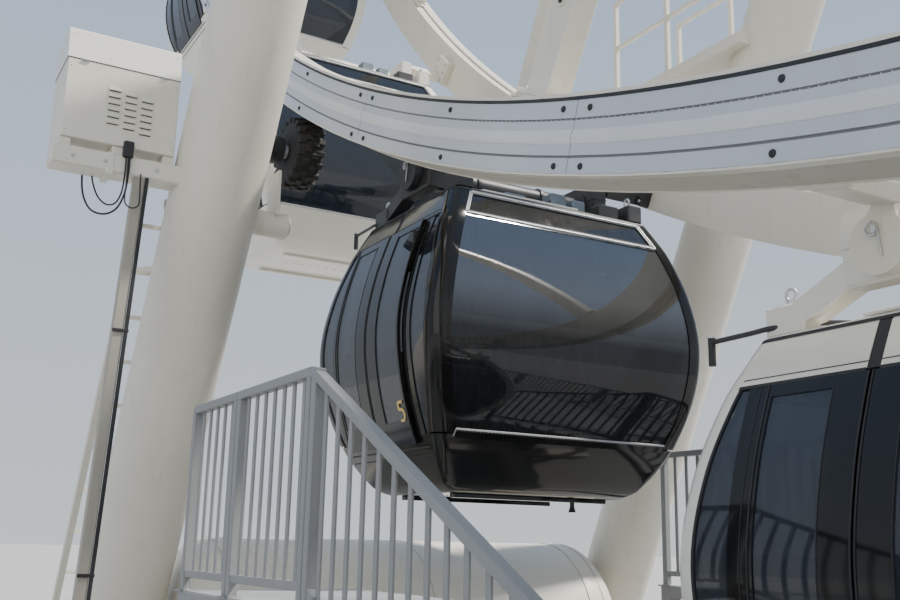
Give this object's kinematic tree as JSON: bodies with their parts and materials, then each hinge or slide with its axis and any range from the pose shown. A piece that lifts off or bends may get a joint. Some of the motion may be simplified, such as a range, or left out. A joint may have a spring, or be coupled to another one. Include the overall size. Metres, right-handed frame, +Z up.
{
  "type": "observation wheel",
  "caption": "Observation wheel with enclosed barrel-shaped hanging cabins, clad twin rings, forked spokes, tubular legs and a stepped boarding platform.",
  "frame": {"origin": "on the ground, under the hub, at the middle of the base's underside", "axes": "+Z up, Y along the wheel's axis with the boarding side at -Y, X across the wheel"},
  "size_m": [37.5918, 10.8, 39.1809],
  "materials": {
    "cream_paint": "satin",
    "ring_cladding": "satin",
    "grey_steel": "satin",
    "tyre_rubber": "matte",
    "cabin_white": "gloss",
    "cabin_black": "gloss",
    "tinted_glass": "gloss"
  },
  "bodies": {
    "base": {"base_frame": "cream_paint", "tank_left": "cream_paint", "tank_right": "cream_paint", "front_leg_left": "cream_paint", "front_leg_right": "cream_paint", "back_leg_left": "cream_paint", "back_leg_right": "cream_paint", "front_bearing": "cream_paint", "back_bearing": "cream_paint", "boarding_platform": "grey_steel", "boarding_stair": "grey_steel", "boarding_stair_railing": "grey_steel", "boarding_railing": "grey_steel", "exit_platform": "grey_steel", "exit_stair": "grey_steel", "exit_stair_railing": "grey_steel", "exit_railing": "grey_steel", "housing_shelf": "cream_paint", "machine_housing": "cream_paint", "ladder": "cream_paint", "drive_bracket": "cream_paint", "service_walkway": "cream_paint"},
    "wheel": {"front_ring": "ring_cladding", "back_ring": "ring_cladding", "front_spokes": "cream_paint", "back_spokes": "cream_paint", "hub": "cream_paint"},
    "drive_tyre": {"drive_tyre": "tyre_rubber"},
    "cabin_05": {"cabin_05": "cabin_black"},
    "cabin_06": {"cabin_06": "cabin_white"},
    "cabin_07": {"cabin_07": "cabin_white"},
    "cabin_08": {"cabin_08": "cabin_white"},
    "cabin_09": {"cabin_09": "cabin_white"},
    "cabin_10": {"cabin_10": "cabin_white"},
    "cabin_11": {"cabin_11": "cabin_white"},
    "cabin_12": {"cabin_12": "cabin_white"},
    "cabin_13": {"cabin_13": "cabin_white"},
    "cabin_14": {"cabin_14": "cabin_white"},
    "cabin_15": {"cabin_15": "cabin_white"},
    "cabin_16": {"cabin_16": "cabin_white"},
    "cabin_17": {"cabin_17": "cabin_white"},
    "cabin_18": {"cabin_18": "cabin_white"},
    "cabin_19": {"cabin_19": "cabin_white"},
    "cabin_20": {"cabin_20": "cabin_white"},
    "cabin_21": {"cabin_21": "cabin_white"},
    "cabin_22": {"cabin_22": "cabin_white"},
    "cabin_23": {"cabin_23": "cabin_white"},
    "cabin_24": {"cabin_24": "cabin_white"},
    "cabin_01": {"cabin_01": "cabin_white"},
    "cabin_02": {"cabin_02": "cabin_white"},
    "cabin_03": {"cabin_03": "cabin_white"},
    "cabin_04": {"cabin_04": "cabin_white"},
    "cabin_05_door_left": {"cabin_05_door_left": "tinted_glass"},
    "cabin_05_door_right": {"cabin_05_door_right": "tinted_glass"}
  },
  "joints": [
    {"name": "wheel_turn", "type": "hinge", "parent": "base", "child": "wheel", "pos_m": [0, 0, 21.2], "axis": [0, 1, 0], "continuous": true},
    {"name": "drive_tyre_spin", "type": "hinge", "parent": "base", "child": "drive_tyre", "pos_m": [-9.30687, -1.5355, 5.83253], "axis": [0, 1, 0], "continuous": true},
    {"name": "cabin_05_hang", "type": "hinge", "parent": "wheel", "child": "cabin_05", "pos_m": [-8.40319, 0, 5.5084], "axis": [0, 1, 0], "continuous": true},
    {"name": "cabin_06_hang", "type": "hinge", "parent": "wheel", "child": "cabin_06", "pos_m": [-4.05557, 0, 3.86817], "axis": [0, 1, 0], "continuous": true},
    {"name": "cabin_07_hang", "type": "hinge", "parent": "wheel", "child": "cabin_07", "pos_m": [0.56843, 0, 3.40908], "axis": [0, 1, 0], "continuous": true},
    {"name": "cabin_08_hang", "type": "hinge", "parent": "wheel", "child": "cabin_08", "pos_m": [5.15369, 0, 4.16241], "axis": [0, 1, 0], "continuous": true},
    {"name": "cabin_09_hang", "type": "hinge", "parent": "wheel", "child": "cabin_09", "pos_m": [9.38773, 0, 6.07682], "axis": [0, 1, 0], "continuous": true},
    {"name": "cabin_10_hang", "type": "hinge", "parent": "wheel", "child": "cabin_10", "pos_m": [12.98202, 0, 9.02186], "axis": [0, 1, 0], "continuous": true},
    {"name": "cabin_11_hang", "type": "hinge", "parent": "wheel", "child": "cabin_11", "pos_m": [15.6916, 0, 12.79681], "axis": [0, 1, 0], "continuous": true},
    {"name": "cabin_12_hang", "type": "hinge", "parent": "wheel", "child": "cabin_12", "pos_m": [17.33183, 0, 17.14443], "axis": [0, 1, 0], "continuous": true},
    {"name": "cabin_13_hang", "type": "hinge", "parent": "wheel", "child": "cabin_13", "pos_m": [17.79092, 0, 21.76843], "axis": [0, 1, 0], "continuous": true},
    {"name": "cabin_14_hang", "type": "hinge", "parent": "wheel", "child": "cabin_14", "pos_m": [17.03759, 0, 26.35369], "axis": [0, 1, 0], "continuous": true},
    {"name": "cabin_15_hang", "type": "hinge", "parent": "wheel", "child": "cabin_15", "pos_m": [15.12318, 0, 30.58773], "axis": [0, 1, 0], "continuous": true},
    {"name": "cabin_16_hang", "type": "hinge", "parent": "wheel", "child": "cabin_16", "pos_m": [12.17814, 0, 34.18202], "axis": [0, 1, 0], "continuous": true},
    {"name": "cabin_17_hang", "type": "hinge", "parent": "wheel", "child": "cabin_17", "pos_m": [8.40319, 0, 36.8916], "axis": [0, 1, 0], "continuous": true},
    {"name": "cabin_18_hang", "type": "hinge", "parent": "wheel", "child": "cabin_18", "pos_m": [4.05557, 0, 38.53183], "axis": [0, 1, 0], "continuous": true},
    {"name": "cabin_19_hang", "type": "hinge", "parent": "wheel", "child": "cabin_19", "pos_m": [-0.56843, 0, 38.99092], "axis": [0, 1, 0], "continuous": true},
    {"name": "cabin_20_hang", "type": "hinge", "parent": "wheel", "child": "cabin_20", "pos_m": [-5.15369, 0, 38.23759], "axis": [0, 1, 0], "continuous": true},
    {"name": "cabin_21_hang", "type": "hinge", "parent": "wheel", "child": "cabin_21", "pos_m": [-9.38773, 0, 36.32318], "axis": [0, 1, 0], "continuous": true},
    {"name": "cabin_22_hang", "type": "hinge", "parent": "wheel", "child": "cabin_22", "pos_m": [-12.98202, 0, 33.37814], "axis": [0, 1, 0], "continuous": true},
    {"name": "cabin_23_hang", "type": "hinge", "parent": "wheel", "child": "cabin_23", "pos_m": [-15.6916, 0, 29.60319], "axis": [0, 1, 0], "continuous": true},
    {"name": "cabin_24_hang", "type": "hinge", "parent": "wheel", "child": "cabin_24", "pos_m": [-17.33183, 0, 25.25557], "axis": [0, 1, 0], "continuous": true},
    {"name": "cabin_01_hang", "type": "hinge", "parent": "wheel", "child": "cabin_01", "pos_m": [-17.79092, 0, 20.63157], "axis": [0, 1, 0], "continuous": true},
    {"name": "cabin_02_hang", "type": "hinge", "parent": "wheel", "child": "cabin_02", "pos_m": [-17.03759, 0, 16.04631], "axis": [0, 1, 0], "continuous": true},
    {"name": "cabin_03_hang", "type": "hinge", "parent": "wheel", "child": "cabin_03", "pos_m": [-15.12318, 0, 11.81227], "axis": [0, 1, 0], "continuous": true},
    {"name": "cabin_04_hang", "type": "hinge", "parent": "wheel", "child": "cabin_04", "pos_m": [-12.17814, 0, 8.21798], "axis": [0, 1, 0], "continuous": true},
    {"name": "cabin_05_door_left_slide", "type": "slide", "parent": "cabin_05", "child": "cabin_05_door_left", "axis": [-1, 0, 0], "range_m": [0, 0.5]},
    {"name": "cabin_05_door_right_slide", "type": "slide", "parent": "cabin_05", "child": "cabin_05_door_right", "axis": [1, 0, 0], "range_m": [0, 0.5]}
  ],
  "couplings": [
    {"joint": "drive_tyre_spin", "follows": "wheel_turn", "ratio": -56.935},
    {"joint": "cabin_05_hang", "follows": "wheel_turn", "ratio": -1},
    {"joint": "cabin_06_hang", "follows": "wheel_turn", "ratio": -1},
    {"joint": "cabin_07_hang", "follows": "wheel_turn", "ratio": -1},
    {"joint": "cabin_08_hang", "follows": "wheel_turn", "ratio": -1},
    {"joint": "cabin_09_hang", "follows": "wheel_turn", "ratio": -1},
    {"joint": "cabin_10_hang", "follows": "wheel_turn", "ratio": -1},
    {"joint": "cabin_11_hang", "follows": "wheel_turn", "ratio": -1},
    {"joint": "cabin_12_hang", "follows": "wheel_turn", "ratio": -1},
    {"joint": "cabin_13_hang", "follows": "wheel_turn", "ratio": -1},
    {"joint": "cabin_14_hang", "follows": "wheel_turn", "ratio": -1},
    {"joint": "cabin_15_hang", "follows": "wheel_turn", "ratio": -1},
    {"joint": "cabin_16_hang", "follows": "wheel_turn", "ratio": -1},
    {"joint": "cabin_17_hang", "follows": "wheel_turn", "ratio": -1},
    {"joint": "cabin_18_hang", "follows": "wheel_turn", "ratio": -1},
    {"joint": "cabin_19_hang", "follows": "wheel_turn", "ratio": -1},
    {"joint": "cabin_20_hang", "follows": "wheel_turn", "ratio": -1},
    {"joint": "cabin_21_hang", "follows": "wheel_turn", "ratio": -1},
    {"joint": "cabin_22_hang", "follows": "wheel_turn", "ratio": -1},
    {"joint": "cabin_23_hang", "follows": "wheel_turn", "ratio": -1},
    {"joint": "cabin_24_hang", "follows": "wheel_turn", "ratio": -1},
    {"joint": "cabin_01_hang", "follows": "wheel_turn", "ratio": -1},
    {"joint": "cabin_02_hang", "follows": "wheel_turn", "ratio": -1},
    {"joint": "cabin_03_hang", "follows": "wheel_turn", "ratio": -1},
    {"joint": "cabin_04_hang", "follows": "wheel_turn", "ratio": -1},
    {"joint": "cabin_05_door_right_slide", "follows": "cabin_05_door_left_slide", "ratio": 1}
  ]
}
